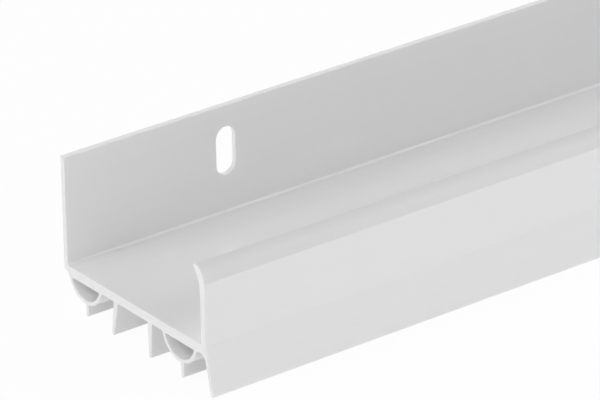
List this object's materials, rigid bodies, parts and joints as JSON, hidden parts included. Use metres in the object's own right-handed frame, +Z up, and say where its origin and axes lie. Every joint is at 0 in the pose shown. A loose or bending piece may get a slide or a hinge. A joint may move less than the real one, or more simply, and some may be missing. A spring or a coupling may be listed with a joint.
{
  "type": "slide-on door bottom",
  "caption": "U-shaped vinyl door bottom that slides over a door's lower edge, with hollow bulbs, sealing fins and a drip flap beneath and upright screw slots in one leg.",
  "frame": {"origin": "centre of the channel floor, on which the door's lower edge sits, at mid length", "axes": "+X along the door, +Y to the leg with the screw slots, -Y to the weather side with the drip flap, +Z up the door"},
  "size_m": [0.9144, 0.05, 0.0344],
  "materials": {
    "white_vinyl": "plain white semi-rigid vinyl with a soft satin sheen and faint lines along the extrusion"
  },
  "bodies": {
    "root": {"door_bottom_profile": "white_vinyl"}
  },
  "joints": []
}
